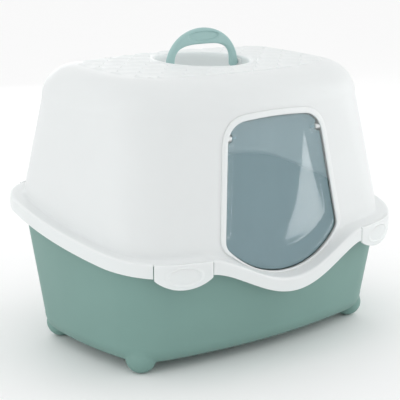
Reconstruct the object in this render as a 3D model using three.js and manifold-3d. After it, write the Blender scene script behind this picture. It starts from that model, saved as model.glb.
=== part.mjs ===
// Cat litter box with a lift-off hood: an open tray on four moulded feet, a tapered hood that
// sits on the tray's lip, a clear flap in the doorway, four side clips and a folding handle.
//
// Millimetres. +X runs along the long doorway face, -Y is the doorway side and +Z is up. The
// origin is on the floor, under the middle of the flange.

import * as THREE from "three";
import { mergeVertices } from "three/addons/utils/BufferGeometryUtils.js";
import Module from "manifold-3d";

// ---------------------------------------------------------------- driving dimensions

// Plan of the flange, the widest line of the box.
const boxLength = 560;
const boxDepth = 400;
const frontBow = 860; // radius of the bowed front and back
const endBow = 587; // radius of the bowed ends
const endBowShift = 14; // how far behind the middle the ends are widest
const frontCorner = 102;
const backCorner = 71;

// Flange: its top line climbs to the back and dips under the doorway.
const rimHeight = 167; // at the front edge, beside the dip
const rimRise = 67; // from the front edge to the back edge
const sillDip = 44;
const sillBlend = 32.5; // from the doorway's side to the end of the dip
const ledgeWidth = 21;
const ledgeThickness = 3;
const ledgeFillet = 4;
const skirtHeight = 20;
const skirtWall = 2.6;
const flangeRound = 3.5;

// Hood.
const hoodRise = 242.5; // from rimHeight to the hood's top beside the handle
const topFall = 16; // fall of the top over the box's depth, to the front
const topCrown = 2;
const endTaper = 22; // inward lean of each wall between ledge and shoulder
const frontTaper = 27;
const backTaper = 19;
const shoulderRadius = 50;
const shoulderFrontCorner = 110;
const shoulderBackCorner = 76;
const hoodWall = 2.6;

// Doorway and its raised surround.
const doorWidth = 215; // at the lower corners
const doorTopWidth = 172;
const doorTopGap = 61.5; // from the hood's top down to the doorway's top
const doorSillStep = 3; // from the ledge up to the middle of the sill
const doorSillRise = 48; // from the middle of the sill up to its ends
const doorTopBow = 5.5; // fall of the arched top from its middle to its ends
const doorTopCorner = 30;
const doorSillCorner = 9;
const surroundWidth = 9;
const surroundProud = 2;

// Flap and the two hooks that it hangs in.
const flapThickness = 2.4;
const flapRecess = 2.5; // behind the hood's outer surface
const flapGap = 1.4; // to the doorway's edge
const flapAxisDrop = 24.5; // below the doorway's top
const flapStubRadius = 1.8;
const flapStubReach = 7; // of the stub into the pane, past the notch
const hookRadius = 3.6;
const hookLength = 9;
const hookClearance = 2.2; // around the hook, in the flap's notch

// Tray.
const trayInset = 19; // from the flange's edge to the tray's wall under its lip
const trayEndTaper = 19;
const trayFrontTaper = 22;
const trayCorner = 72;
const trayBottomRadius = 31;
const trayUnderside = 13;
const trayWall = 2.8;
const lipThickness = 3;
const footEndInset = 77; // from the flange's end to the foot's centre
const footFrontInset = 98;
const footRadius = 22;
const footTread = 11;
const footHeight = 52; // from the floor to where the bulge runs out in the wall
const footWall = 3;

// Clips, a pair at the front and a pair at the back.
const clipWidth = 86;
const clipSide = 22; // length of the straight sides
const clipHeight = 36;
const clipThickness = 3.2;
const clipProud = 0.9;
const clipEdge = 1.2; // chamfer along the top
const clipSlot = 2.5;
const hookBarWidth = 46;
const hookBarReach = 3.1;
const hookBarDrop = 7.4; // from the flange's top to the top of the hook bar
const hookBarHeight = 3.6;

// Handle and its round recess.
const handleY = 13;
const handleWidth = 134;
const handleReach = 55.6; // from the pivot to the top of the grip
const handleGripDepth = 24;
const handleLegWidth = 13;
const handleThickness = 9;
const handleEdge = 1.6;
const handlePivotDrop = 6.2; // pivot below the hood's top
const handleStubRadius = 3;
const gripPadLength = 60;
const gripPadHeight = 14.5;
const gripPadDepth = 0.8;
const recessRadius = 78;
const recessDepth = 24;
const recessRound = 14;
const bossWidth = 16;
const bossTopDrop = 1; // below the hood's top

// Clearances.
const seatGap = 0.4; // between the lip and the ledge on it
const sideGap = 1.1; // between the lip's edge and the skirt
const clipGap = 0.4; // between a clip and the hood or the lip
const stubGap = 0.4; // around a stub in its socket
const legGap = 1.2; // between a handle leg and its boss

// How far a shape that cuts runs past what it cuts, and how far joined shapes run into each other.
const cutOver = 20;
const joinOver = 1;
const wallBelowLedge = -0.3; // share of the wall's height, carried on down behind the flap

// Points on each stretch of a plan outline, and on turned or rounded shapes.
const frontSteps = 9;
const cornerSteps = 5;
const endSteps = 6;
const backSteps = 6;
const roundSteps = 4;
const recessSides = 40;
const footSides = 24;
const stubSides = 20;
const curveSteps = 12;

// ---------------------------------------------------------------- derived places

const halfLength = boxLength / 2;
const halfDepth = boxDepth / 2;
const dipHalf = doorWidth / 2 + sillBlend;
const hoodTop = rimHeight + hoodRise;
const pivotZ = hoodTop - handlePivotDrop;
const lipInset = skirtWall + sideGap;
const clipCentre = dipHalf + clipSlot + clipWidth / 2;
const doorTop = hoodTop - doorTopGap;
const flapAxisZ = doorTop - flapAxisDrop;

const white = { color: 0xe9ebe8, roughness: 0.5, metalness: 0 };
const green = { color: 0x7da296, roughness: 0.55, metalness: 0 };
const paleGreen = { color: 0x94b5b0, roughness: 0.5, metalness: 0 };
const clear = { color: 0x9fb0b2, roughness: 0.1, metalness: 0, transparent: true, opacity: 0.35 };

// ---------------------------------------------------------------- solids

const wasm = await Module();
wasm.setup();

// A closed geometry as a solid that can be joined and cut.
function solid(geometry) {
  const loose = geometry.index ? geometry.toNonIndexed() : geometry;
  const bare = new THREE.BufferGeometry();
  bare.setAttribute("position", loose.getAttribute("position"));
  const merged = mergeVertices(bare, 1e-4);
  const corners = merged.index.array;
  const faces = [];
  for (let i = 0; i < corners.length; i += 3) {
    const [a, b, c] = corners.slice(i, i + 3);
    if (a !== b && b !== c && c !== a) faces.push(a, b, c);
  }
  return new wasm.Manifold(
    new wasm.Mesh({
      numProp: 3,
      vertProperties: merged.getAttribute("position").array,
      triVerts: new Uint32Array(faces),
    }),
  );
}

// A named mesh of a solid, whose own origin is the point that it turns about.
function piece(name, shape, finish, pivot = new THREE.Vector3()) {
  const data = shape.getMesh();
  const geometry = new THREE.BufferGeometry();
  geometry.setAttribute("position", new THREE.BufferAttribute(data.vertProperties, 3));
  geometry.setIndex(new THREE.BufferAttribute(data.triVerts, 1));
  geometry.translate(-pivot.x, -pivot.y, -pivot.z);
  geometry.computeVertexNormals();
  const mesh = new THREE.Mesh(geometry, new THREE.MeshStandardMaterial(finish));
  mesh.name = name;
  mesh.position.copy(pivot);
  return mesh;
}

function block(low, high) {
  const size = new THREE.Vector3().subVectors(high, low);
  const middle = new THREE.Vector3().addVectors(low, high).multiplyScalar(0.5);
  const geometry = new THREE.BoxGeometry(size.x, size.y, size.z);
  return solid(geometry.translate(middle.x, middle.y, middle.z));
}

// A cylinder along X between two x values.
function rod(radius, from, to, y, z, sides = stubSides) {
  const geometry = new THREE.CylinderGeometry(radius, radius, Math.abs(to - from), sides);
  geometry.rotateZ(Math.PI / 2);
  return solid(geometry.translate((from + to) / 2, y, z));
}

// A shape drawn in X and Z, extruded along Y from y to y + depth, then placed by a matrix.
function slab(shape, y, depth, placed = new THREE.Matrix4(), edge = 0) {
  const apart = (point, i, all) => point.distanceTo(all.at(i - 1)) > 0.01;
  const points = shape.getPoints(curveSteps).filter(apart);
  const geometry = new THREE.ExtrudeGeometry(new THREE.Shape(points), {
    depth: depth - 2 * edge,
    bevelEnabled: edge > 0,
    bevelThickness: edge,
    bevelSize: edge,
    bevelOffset: -edge,
    bevelSegments: 2,
  });
  geometry.rotateX(Math.PI / 2);
  geometry.translate(0, y + depth - edge, 0);
  return solid(geometry.applyMatrix4(placed));
}

// A turned solid about a vertical axis through x and y; the profile is radius and height.
function turned(profile, x, y, sides) {
  const points = profile.map(([radius, z]) => new THREE.Vector2(radius, z));
  const geometry = new THREE.LatheGeometry(points, sides);
  geometry.rotateX(Math.PI / 2);
  return solid(geometry.translate(x, y, 0));
}

// ---------------------------------------------------------------- plan outlines

// A plan is four bowed sides with rounded corners. inset moves all of it inwards.
function plan(length, front, back, frontRadius, backRadius) {
  return { length, front, back, frontRadius, backRadius };
}

const flangePlan = plan(halfLength, halfDepth, halfDepth, frontCorner, backCorner);
const wallPlan = plan(
  halfLength - ledgeWidth,
  halfDepth - ledgeWidth,
  halfDepth - ledgeWidth,
  frontCorner - ledgeWidth,
  backCorner - ledgeWidth,
);
const shoulderPlan = plan(
  wallPlan.length - endTaper,
  wallPlan.front - frontTaper,
  wallPlan.back - backTaper,
  shoulderFrontCorner,
  shoulderBackCorner,
);
const trayBottomPlan = plan(
  halfLength - trayInset - trayEndTaper,
  halfDepth - trayInset - trayFrontTaper,
  halfDepth - trayInset - trayFrontTaper,
  trayCorner,
  trayCorner,
);

function blendPlans(a, b, t) {
  const mixed = {};
  for (const key of Object.keys(a)) mixed[key] = THREE.MathUtils.lerp(a[key], b[key], t);
  return mixed;
}

// The three arcs of one quarter of a plan, for the front (side -1) or the back (side 1).
function quarter(shape, inset, side) {
  const long = frontBow - inset;
  const short = endBow - inset;
  const reach = (side < 0 ? shape.front : shape.back) - inset;
  const radius = (side < 0 ? shape.frontRadius : shape.backRadius) - inset;
  const longCentre = new THREE.Vector2(0, side * (reach - long));
  const endCentre = new THREE.Vector2(shape.length - inset - short, endBowShift);
  // The corner's centre lies where both bows, drawn in by the corner radius, cross.
  const apart = endCentre.clone().sub(longCentre);
  const gap = apart.length();
  const along = ((long - radius) ** 2 - (short - radius) ** 2 + gap ** 2) / (2 * gap);
  const across = Math.sqrt((long - radius) ** 2 - along ** 2);
  const normal = new THREE.Vector2(-apart.y, apart.x).multiplyScalar(-side / gap);
  const centre = longCentre
    .clone()
    .addScaledVector(apart, along / gap)
    .addScaledVector(normal, across);
  return {
    long: { centre: longCentre, radius: long },
    corner: { centre, radius },
    end: { centre: endCentre, radius: short },
    start: (side * Math.PI) / 2,
    first: centre.clone().sub(longCentre).angle(),
    second: centre.clone().sub(endCentre).angle(),
  };
}

function signedAngle(angle) {
  return angle > Math.PI ? angle - 2 * Math.PI : angle;
}

function arcPoints(arc, from, to, steps) {
  const points = [];
  for (let i = 0; i < steps; i++) {
    const angle = THREE.MathUtils.lerp(from, to, i / steps);
    const direction = new THREE.Vector2(Math.cos(angle), Math.sin(angle));
    points.push(arc.centre.clone().addScaledVector(direction, arc.radius));
  }
  return points;
}

// One quarter's points, from the middle of the long side to the middle of the end.
function quarterPoints(shape, inset, side) {
  const arcs = quarter(shape, inset, side);
  const first = signedAngle(arcs.first);
  const second = signedAngle(arcs.second);
  const longSteps = side < 0 ? frontSteps : backSteps;
  return [
    ...arcPoints(arcs.long, arcs.start, first, longSteps),
    ...arcPoints(arcs.corner, first, second, cornerSteps),
    ...arcPoints(arcs.end, second, 0, endSteps / 2),
  ];
}

// The whole outline, anticlockwise seen from above, starting at the middle of the front.
function outline(shape, inset) {
  const front = quarterPoints(shape, inset, -1);
  const back = quarterPoints(shape, inset, 1).reverse();
  const widest = new THREE.Vector2(shape.length - inset, endBowShift);
  const right = [...front, widest, ...back];
  const left = right
    .slice(1, -1)
    .reverse()
    .map((point) => new THREE.Vector2(-point.x, point.y));
  return [...right, ...left];
}

// A ring of the outline with its height at each point.
function ring(shape, inset, height) {
  return outline(shape, inset).map(({ x, y }) => new THREE.Vector3(x, y, height(x, y)));
}

// The edge of a plan at one x, on the front (side -1) or the back (side 1).
function edgeAt(shape, inset, x, side) {
  const arcs = quarter(shape, inset, side);
  const tangent = arcs.long.centre.x + arcs.long.radius * Math.cos(arcs.first);
  const arc = Math.abs(x) < tangent ? arcs.long : arcs.corner;
  const across = Math.abs(x) - arc.centre.x;
  return arc.centre.y + side * Math.sqrt(arc.radius ** 2 - across ** 2);
}

// A closed skin through rings of equal counts, listed from the bottom to the top.
function skin(rings) {
  const count = rings[0].length;
  const points = rings.flat();
  const faces = [];
  const middle = (loop) =>
    loop.reduce((sum, point) => sum.add(point), new THREE.Vector3()).divideScalar(count);
  const bottom = points.push(middle(rings[0])) - 1;
  const top = points.push(middle(rings.at(-1))) - 1;
  const topStart = (rings.length - 1) * count;
  for (let i = 0; i < count; i++) {
    const next = (i + 1) % count;
    faces.push(bottom, next, i);
    faces.push(top, topStart + i, topStart + next);
    for (let start = 0; start < topStart; start += count) {
      const a = start + i;
      const b = start + next;
      faces.push(a, b, b + count);
      faces.push(a, b + count, a + count);
    }
  }
  const geometry = new THREE.BufferGeometry().setFromPoints(points);
  geometry.setIndex(faces);
  return solid(geometry);
}

// ---------------------------------------------------------------- heights

// The flange's top line, which the hood's ledge and the tray's lip both follow.
function rimZ(x, y) {
  const climb = (rimRise * (y + halfDepth)) / boxDepth;
  const nearFront = THREE.MathUtils.smoothstep(-y, 0, halfDepth / 2);
  const share = Math.max(Math.cos((Math.PI / 2) * Math.min(Math.abs(x) / dipHalf, 1)), 0);
  return rimHeight + climb - sillDip * share ** 1.5 * nearFront;
}

const aboveRim = (offset) => (x, y) => rimZ(x, y) + offset;

function topZ(y) {
  return hoodTop + (topFall * (y - handleY)) / boxDepth;
}

// ---------------------------------------------------------------- hood skins

// Rings of the hood's wall, shoulder and top, moved inwards by inset.
function bodyRings(inset, lowest) {
  const rings = [];
  for (const t of [lowest, 0, 1 / 3, 2 / 3]) {
    const height = (x, y) =>
      THREE.MathUtils.lerp(rimZ(x, y) + ledgeFillet, topZ(y) - shoulderRadius, t);
    rings.push(ring(blendPlans(wallPlan, shoulderPlan, t), inset, height));
  }
  const round = shoulderRadius - inset;
  for (let i = 0; i <= roundSteps; i++) {
    const angle = ((Math.PI / 2) * i) / roundSteps;
    const drawnIn = inset + round * (1 - Math.cos(angle));
    const height = (x, y) => topZ(y) - shoulderRadius + round * Math.sin(angle);
    rings.push(ring(shoulderPlan, drawnIn, height));
  }
  const edge = rings.at(-1);
  for (const share of [0.75, 0.4]) {
    const raise = topCrown * (1 - share ** 2);
    rings.push(
      edge.map(({ x, y }) => {
        const inY = handleY + share * (y - handleY);
        return new THREE.Vector3(share * x, inY, topZ(inY) - inset + raise);
      }),
    );
  }
  return rings;
}

// The hood's outside, from the bottom of the skirt; inset moves its wall and top only.
function hoodOutside(inset) {
  const round = flangeRound;
  const cut = round * (1 - Math.SQRT1_2);
  return skin([
    ring(flangePlan, 0, aboveRim(-skirtHeight)),
    ring(flangePlan, 0, aboveRim(-round)),
    ring(flangePlan, cut, aboveRim(-cut)),
    ring(flangePlan, round, aboveRim(0)),
    ring(flangePlan, ledgeWidth - ledgeFillet, aboveRim(0)),
    ring(flangePlan, ledgeWidth - ledgeFillet / 4, aboveRim(ledgeFillet / 4)),
    ...bodyRings(inset, 0).slice(1),
  ]);
}

// The hood's hollow, which runs out below the skirt.
function hoodInside() {
  return skin([
    ring(flangePlan, skirtWall, aboveRim(-skirtHeight - cutOver)),
    ring(flangePlan, skirtWall, aboveRim(-ledgeThickness)),
    ring(flangePlan, ledgeWidth + hoodWall, aboveRim(-ledgeThickness)),
    ...bodyRings(hoodWall, 0).slice(1),
  ]);
}

// The hood's wall carried straight down past the ledge, for the flap that lies along it.
function wallSkin(inset) {
  return skin(bodyRings(inset, wallBelowLedge));
}

// ---------------------------------------------------------------- doorway

const wallFrontY = -wallPlan.front;
const doorSill = rimZ(0, wallFrontY) + doorSillStep;
const doorCornerZ = doorSill + doorSillRise;
const sillRadius = ((doorWidth / 2) ** 2 + doorSillRise ** 2) / (2 * doorSillRise);

// A point that lies a distance from one end of a line towards the other.
function towards(from, to, distance) {
  return to.clone().sub(from).setLength(distance).add(from);
}

// The doorway's outline in X and Z, grown by a margin: straight leaning sides, a slightly arched
// top and a bowed sill, with a curve through each corner.
function doorShape(margin) {
  const half = doorWidth / 2 + margin;
  const topHalf = doorTopWidth / 2 + margin;
  const top = doorTop + margin;
  const low = new THREE.Vector2(half, doorCornerZ);
  const high = new THREE.Vector2(topHalf, top - doorTopBow);
  const radius = sillRadius + margin;
  const centreZ = doorSill + sillRadius;
  const cornerAngle = Math.asin(half / radius);
  const sillEndAngle = cornerAngle - doorSillCorner / radius;
  const sillEnd = new THREE.Vector2(
    radius * Math.sin(sillEndAngle),
    centreZ - radius * Math.cos(sillEndAngle),
  );
  const sillCorner = new THREE.Vector2(half, centreZ - radius * Math.cos(cornerAngle));
  const sideLow = towards(low, high, doorSillCorner);
  const sideHigh = towards(high, low, doorTopCorner + margin);
  const topEnd = topHalf - doorTopCorner - margin;
  const topFallAtEnd = doorTopBow * (topEnd / topHalf) ** 2;
  const shape = new THREE.Shape();
  shape.moveTo(-sillEnd.x, sillEnd.y);
  const from = -Math.PI / 2 - sillEndAngle;
  const to = -Math.PI / 2 + sillEndAngle;
  shape.absarc(0, centreZ, radius, from, to, false);
  shape.quadraticCurveTo(sillCorner.x, sillCorner.y, sideLow.x, sideLow.y);
  shape.lineTo(sideHigh.x, sideHigh.y);
  shape.quadraticCurveTo(high.x, high.y, topEnd, top - topFallAtEnd);
  shape.quadraticCurveTo(0, top + topFallAtEnd, -topEnd, top - topFallAtEnd);
  shape.quadraticCurveTo(-high.x, high.y, -sideHigh.x, sideHigh.y);
  shape.lineTo(-sideLow.x, sideLow.y);
  shape.quadraticCurveTo(-sillCorner.x, sillCorner.y, -sillEnd.x, sillEnd.y);
  return shape;
}

const throughFront = halfDepth; // depth of a cut that passes the front wall only

function doorPrism(margin) {
  return slab(doorShape(margin), -halfDepth - throughFront / 2, throughFront);
}

// Where the flap turns: inside the pane's thickness, at the height of the hooks.
const axisShare =
  (flapAxisZ - (rimHeight + ledgeFillet)) / (hoodTop - shoulderRadius - rimHeight - ledgeFillet);
const axisWallY = edgeAt(blendPlans(wallPlan, shoulderPlan, axisShare), 0, doorTopWidth / 2, -1);
const flapAxisY = axisWallY + flapRecess + flapThickness;
const doorHalfAtAxis = THREE.MathUtils.mapLinear(
  flapAxisZ,
  doorCornerZ,
  doorTop,
  doorWidth / 2,
  doorTopWidth / 2,
);
const hookEnd = doorHalfAtAxis - hookLength;

// ---------------------------------------------------------------- clips

// The place of one clip: its middle on the flange's top line, its own X along the flange and
// its own Y inwards. end is -1 for left and 1 for right, side is -1 for front and 1 for back.
function clipFrame(end, side) {
  const corner = (x) => {
    const y = edgeAt(flangePlan, 0, x, side);
    return new THREE.Vector3(end * x, y, rimZ(x, y));
  };
  const inner = corner(clipCentre - clipWidth / 2);
  const outer = corner(clipCentre + clipWidth / 2);
  const middle = corner(clipCentre);
  const along = outer.sub(inner).multiplyScalar(-end * side).normalize();
  const inwards = new THREE.Vector3(0, 0, 1).cross(along).normalize();
  const up = along.clone().cross(inwards);
  return { along, inwards, matrix: new THREE.Matrix4().makeBasis(along, inwards, up), middle };
}

// The flange's skirt between two insets, from below the clips to above the rim.
function flangeBand(outer, inner) {
  const under = aboveRim(-clipHeight - cutOver / 2);
  const over = aboveRim(cutOver / 2);
  const lower = aboveRim(-clipHeight - cutOver);
  const higher = aboveRim(cutOver);
  const filled = skin([ring(flangePlan, outer, under), ring(flangePlan, outer, over)]);
  return filled.subtract(skin([ring(flangePlan, inner, lower), ring(flangePlan, inner, higher)]));
}

// A clip's front view: flat top, straight sides and a bowed bottom, grown by a margin.
function clipShape(top, margin) {
  const half = clipWidth / 2 + margin;
  const shape = new THREE.Shape();
  shape.moveTo(-half, top);
  shape.lineTo(-half, -clipSide);
  shape.quadraticCurveTo(-half / 2, -clipHeight, 0, -clipHeight);
  shape.quadraticCurveTo(half / 2, -clipHeight, half, -clipSide);
  shape.lineTo(half, top);
  return shape;
}

function rectangle(half, low, high) {
  const shape = new THREE.Shape();
  shape.moveTo(-half, low);
  shape.lineTo(half, low);
  shape.lineTo(half, high);
  shape.lineTo(-half, high);
  return shape;
}

// A slab in a clip's own frame, wide enough across the flange to cut or shape it.
function clipSlab(frame, shape) {
  const placed = frame.matrix.clone().setPosition(frame.middle);
  return slab(shape, -clipHeight, 2 * clipHeight, placed);
}

// ---------------------------------------------------------------- pieces

function makeTray() {
  const shell = (inset, floor) => {
    const round = trayBottomRadius - inset;
    const rings = [];
    for (let i = roundSteps; i >= 0; i--) {
      const angle = ((Math.PI / 2) * i) / roundSteps;
      const drawnIn = inset + round * (1 - Math.cos(angle));
      rings.push(ring(trayBottomPlan, drawnIn, () => floor + round * (1 - Math.sin(angle))));
    }
    return rings;
  };
  const lipTop = -ledgeThickness - seatGap;
  const lipUnder = lipTop - lipThickness;
  const outside = skin([
    ...shell(0, trayUnderside),
    ring(flangePlan, trayInset, aboveRim(lipUnder)),
    ring(flangePlan, lipInset, aboveRim(lipUnder)),
    ring(flangePlan, lipInset, aboveRim(lipTop)),
    ring(flangePlan, trayInset + 2 * trayWall, aboveRim(lipTop)),
  ]);
  const inside = skin([
    ...shell(trayWall, trayUnderside + trayWall),
    ring(flangePlan, trayInset + trayWall, aboveRim(lipUnder)),
    ring(flangePlan, trayInset + trayWall, aboveRim(lipTop + cutOver)),
  ]);
  // A foot is a rounded cup moulded into the bottom corner, hollow from above, whose top
  // narrows until it runs out in the wall.
  const cup = (radius, tread, low, high) => [
    [0, low],
    [tread, low],
    [THREE.MathUtils.lerp(tread, radius, 0.6), low + 0.05 * (high - low)],
    [THREE.MathUtils.lerp(tread, radius, 0.92), low + 0.17 * (high - low)],
    [radius, low + 0.3 * (high - low)],
    [0.9 * radius, low + 0.52 * (high - low)],
    [0.6 * radius, low + 0.8 * (high - low)],
    [0, high],
  ];
  const footX = halfLength - footEndInset;
  const footY = halfDepth - footFrontInset;
  let feet = null;
  let hollows = null;
  for (const x of [-footX, footX])
    for (const y of [-footY, footY]) {
      const foot = turned(cup(footRadius, footTread, 0, footHeight), x, y, footSides);
      const bowl = cup(footRadius - footWall, footTread - 1, footWall, footHeight - footWall);
      const hollow = turned(bowl, x, y, footSides);
      feet = feet ? feet.add(foot) : foot;
      hollows = hollows ? hollows.add(hollow) : hollow;
    }
  let tray = outside.add(feet).subtract(inside).subtract(hollows);
  const catchBand = flangeBand(-clipGap, clipThickness - clipProud + hookBarReach + clipGap);
  for (const frame of clipFrames.values()) {
    const room = rectangle(hookBarWidth / 2 + clipSlot, -clipHeight, cutOver);
    tray = tray.subtract(catchBand.intersect(clipSlab(frame, room)));
  }
  return tray;
}

// Recess for the handle: a round dish, given by how far it is grown all round.
function recessDish(grow, top) {
  const floor = topZ(handleY) - recessDepth - grow;
  const radius = recessRadius + grow;
  const profile = [[0, floor]];
  for (let i = 0; i <= roundSteps; i++) {
    const angle = ((Math.PI / 2) * i) / roundSteps;
    const out = radius - 2 - recessRound * (1 - Math.sin(angle));
    profile.push([out, floor + recessRound * (1 - Math.cos(angle))]);
  }
  profile.push([radius, topZ(handleY)], [radius, top], [0, top]);
  return turned(profile, 0, handleY, recessSides);
}

function makeHood() {
  const over = hoodTop + 3 * topFall;
  const surround = hoodOutside(-surroundProud).intersect(doorPrism(surroundWidth));
  const bodyOnly = block(
    new THREE.Vector3(-halfLength, -halfDepth, doorSill - joinOver),
    new THREE.Vector3(halfLength, 0, doorTop + 2 * surroundWidth),
  );
  const outside = hoodOutside(0).add(surround.intersect(bodyOnly));
  const inside = hoodInside().subtract(recessDish(hoodWall, over));
  let hood = outside.subtract(inside).subtract(recessDish(0, over)).subtract(doorPrism(0));
  for (const side of [-1, 1]) {
    // A boss in the recess holds each end of the handle.
    const face = handleWidth / 2 + legGap;
    const xs = [side * face, side * (recessRadius + hoodWall)].sort((a, b) => a - b);
    const boss = block(
      new THREE.Vector3(xs[0], handleY - bossWidth / 2, topZ(handleY) - recessDepth - hoodWall),
      new THREE.Vector3(xs[1], handleY + bossWidth / 2, topZ(handleY) - bossTopDrop),
    );
    const socket = rod(
      handleStubRadius + stubGap,
      side * (face - joinOver),
      side * (recessRadius - joinOver),
      handleY,
      pivotZ,
    );
    hood = hood.add(boss).subtract(socket);
    // A hook on each side of the doorway carries the flap's stub.
    const hookRoot = side * (doorHalfAtAxis + surroundWidth / 2);
    const hook = rod(hookRadius, side * hookEnd, hookRoot, flapAxisY, flapAxisZ);
    const bore = rod(
      flapStubRadius + stubGap,
      side * (hookEnd - joinOver),
      side * (doorHalfAtAxis - flapGap),
      flapAxisY,
      flapAxisZ,
    );
    hood = hood.add(hook).subtract(bore);
  }
  const slot = flangeBand(-clipGap, clipThickness - clipProud + clipGap);
  for (const frame of clipFrames.values()) {
    const room = rectangle(clipWidth / 2 + clipSlot, -clipHeight, cutOver);
    hood = hood.subtract(slot.intersect(clipSlab(frame, room)));
  }
  return hood;
}

function makeFlap() {
  const front = wallSkin(flapRecess);
  const back = wallSkin(flapRecess + flapThickness);
  let flap = doorPrism(-flapGap).intersect(front.subtract(back));
  for (const side of [-1, 1]) {
    const room = hookRadius + hookClearance;
    const xs = [side * (hookEnd - hookClearance), side * doorWidth].sort((a, b) => a - b);
    const notch = block(
      new THREE.Vector3(xs[0], -halfDepth, flapAxisZ - room),
      new THREE.Vector3(xs[1], 0, flapAxisZ + room),
    );
    const inEnd = side * (hookEnd - hookClearance - flapStubReach);
    const outEnd = side * (doorHalfAtAxis - 2 * flapGap);
    const stub = rod(flapStubRadius, inEnd, outEnd, flapAxisY, flapAxisZ);
    flap = flap.subtract(notch).add(stub);
  }
  return flap;
}

// The clip's own part of the flange, with a hook bar on its inner face.
function makeClip(frame) {
  const skirt = skin([
    ring(flangePlan, -clipProud, aboveRim(-clipHeight - cutOver)),
    ring(flangePlan, -clipProud, aboveRim(-clipEdge)),
    ring(flangePlan, clipEdge - clipProud, aboveRim(0)),
    ring(flangePlan, ledgeWidth, aboveRim(0)),
  ]);
  const inner = clipThickness - clipProud;
  const plate = flangeBand(-clipProud, inner).intersect(skirt);
  const bar = flangeBand(inner - joinOver, inner + hookBarReach);
  const barTop = -hookBarDrop;
  const barShape = rectangle(hookBarWidth / 2, barTop - hookBarHeight, barTop);
  return plate
    .intersect(clipSlab(frame, clipShape(cutOver, 0)))
    .add(bar.intersect(clipSlab(frame, barShape)));
}

// The point on a clip's hinge line: the top of its seam with the ledge, at its middle.
function clipPivot(frame) {
  return frame.middle.clone().addScaledVector(frame.inwards, clipThickness - clipProud);
}

// The handle: a round arch that deepens into the grip, with heels and stubs at its ends.
function makeHandle() {
  const half = handleWidth / 2;
  const innerHalf = half - handleLegWidth;
  const innerTop = handleReach - handleGripDepth;
  const shape = new THREE.Shape();
  shape.moveTo(half, 0);
  shape.absellipse(0, 0, half, handleReach, 0, Math.PI, false, 0);
  const heel = handleLegWidth / 2;
  const padHalf = gripPadLength / 2;
  shape.absarc(-half + heel, 0, heel, Math.PI, 2 * Math.PI, false);
  shape.bezierCurveTo(-innerHalf, 0.7 * innerTop, -0.8 * innerHalf, innerTop, -padHalf, innerTop);
  shape.lineTo(padHalf, innerTop);
  shape.bezierCurveTo(0.8 * innerHalf, innerTop, innerHalf, 0.7 * innerTop, innerHalf, 0);
  shape.absarc(half - heel, 0, heel, Math.PI, 2 * Math.PI, false);
  const pad = new THREE.Shape();
  const padZ = handleReach - handleGripDepth / 2;
  pad.absellipse(0, padZ, padHalf, gripPadHeight / 2, 0, 2 * Math.PI, false, 0);
  const placed = new THREE.Matrix4().makeTranslation(0, handleY, pivotZ);
  let handle = slab(shape, -handleThickness / 2, handleThickness, placed, handleEdge);
  for (const side of [-1, 1]) {
    const low = side < 0 ? -handleThickness : handleThickness / 2 - gripPadDepth;
    const depth = handleThickness / 2 + gripPadDepth;
    handle = handle.subtract(slab(pad, low, depth, placed));
    const inEnd = side * (half - handleLegWidth / 2);
    const outEnd = side * (recessRadius - 2);
    handle = handle.add(rod(handleStubRadius, inEnd, outEnd, handleY, pivotZ));
  }
  return handle;
}

// ---------------------------------------------------------------- assembly

const clipFrames = new Map([
  ["front_left_clip", clipFrame(-1, -1)],
  ["front_right_clip", clipFrame(1, -1)],
  ["rear_left_clip", clipFrame(-1, 1)],
  ["rear_right_clip", clipFrame(1, 1)],
]);

const litterBox = new THREE.Group();
litterBox.add(piece("tray", makeTray(), green));

// What lifts off together.
const hoodGroup = new THREE.Group();
hoodGroup.add(piece("hood_shell", makeHood(), white));
const flapPivot = new THREE.Vector3(0, flapAxisY, flapAxisZ);
hoodGroup.add(piece("door_flap", makeFlap(), clear, flapPivot));
const handlePivot = new THREE.Vector3(0, handleY, pivotZ);
hoodGroup.add(piece("handle", makeHandle(), paleGreen, handlePivot));
for (const [name, frame] of clipFrames)
  hoodGroup.add(piece(name, makeClip(frame), white, clipPivot(frame)));
litterBox.add(hoodGroup);

export default litterBox;
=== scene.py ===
"""A hooded cat litter box: its fine surfaces, finishes and studio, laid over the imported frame.

Lengths inside the shape code are in millimetres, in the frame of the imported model: +X along the
doorway face, -Y towards the doorway, +Z up. Meshes are made in metres.
"""

import logging
import math
from dataclasses import dataclass
from enum import Enum
from typing import Callable, Iterable, Sequence

import bmesh
import bpy
from mathutils import Matrix, Vector


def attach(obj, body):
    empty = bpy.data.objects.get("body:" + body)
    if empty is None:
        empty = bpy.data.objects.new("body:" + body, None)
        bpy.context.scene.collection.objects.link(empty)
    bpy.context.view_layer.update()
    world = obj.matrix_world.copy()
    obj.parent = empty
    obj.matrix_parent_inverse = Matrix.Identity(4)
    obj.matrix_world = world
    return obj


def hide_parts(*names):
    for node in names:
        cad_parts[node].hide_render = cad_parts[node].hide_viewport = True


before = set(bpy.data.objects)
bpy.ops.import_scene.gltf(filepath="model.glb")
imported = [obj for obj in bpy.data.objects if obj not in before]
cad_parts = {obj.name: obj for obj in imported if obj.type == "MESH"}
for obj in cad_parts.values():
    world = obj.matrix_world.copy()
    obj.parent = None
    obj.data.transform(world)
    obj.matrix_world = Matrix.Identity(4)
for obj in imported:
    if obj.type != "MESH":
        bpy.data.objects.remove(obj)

log = logging.getLogger("litter_box")

MM = 0.001
Flat = tuple[float, float]
Ring = list[Vector]

# Sizes that more than one piece is made from. Each class holds its own sizes as fields.

# Flange, the widest line of the box.
BOX_LENGTH = 560.0
BOX_DEPTH = 400.0
FRONT_BOW = 860.0
END_BOW = 587.0
END_BOW_SHIFT = 14.0
RIM_HEIGHT = 167.0
RIM_RISE = 67.0
SILL_DIP = 44.0
SILL_BLEND = 32.5
LEDGE_FILLET = 4.0

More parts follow.
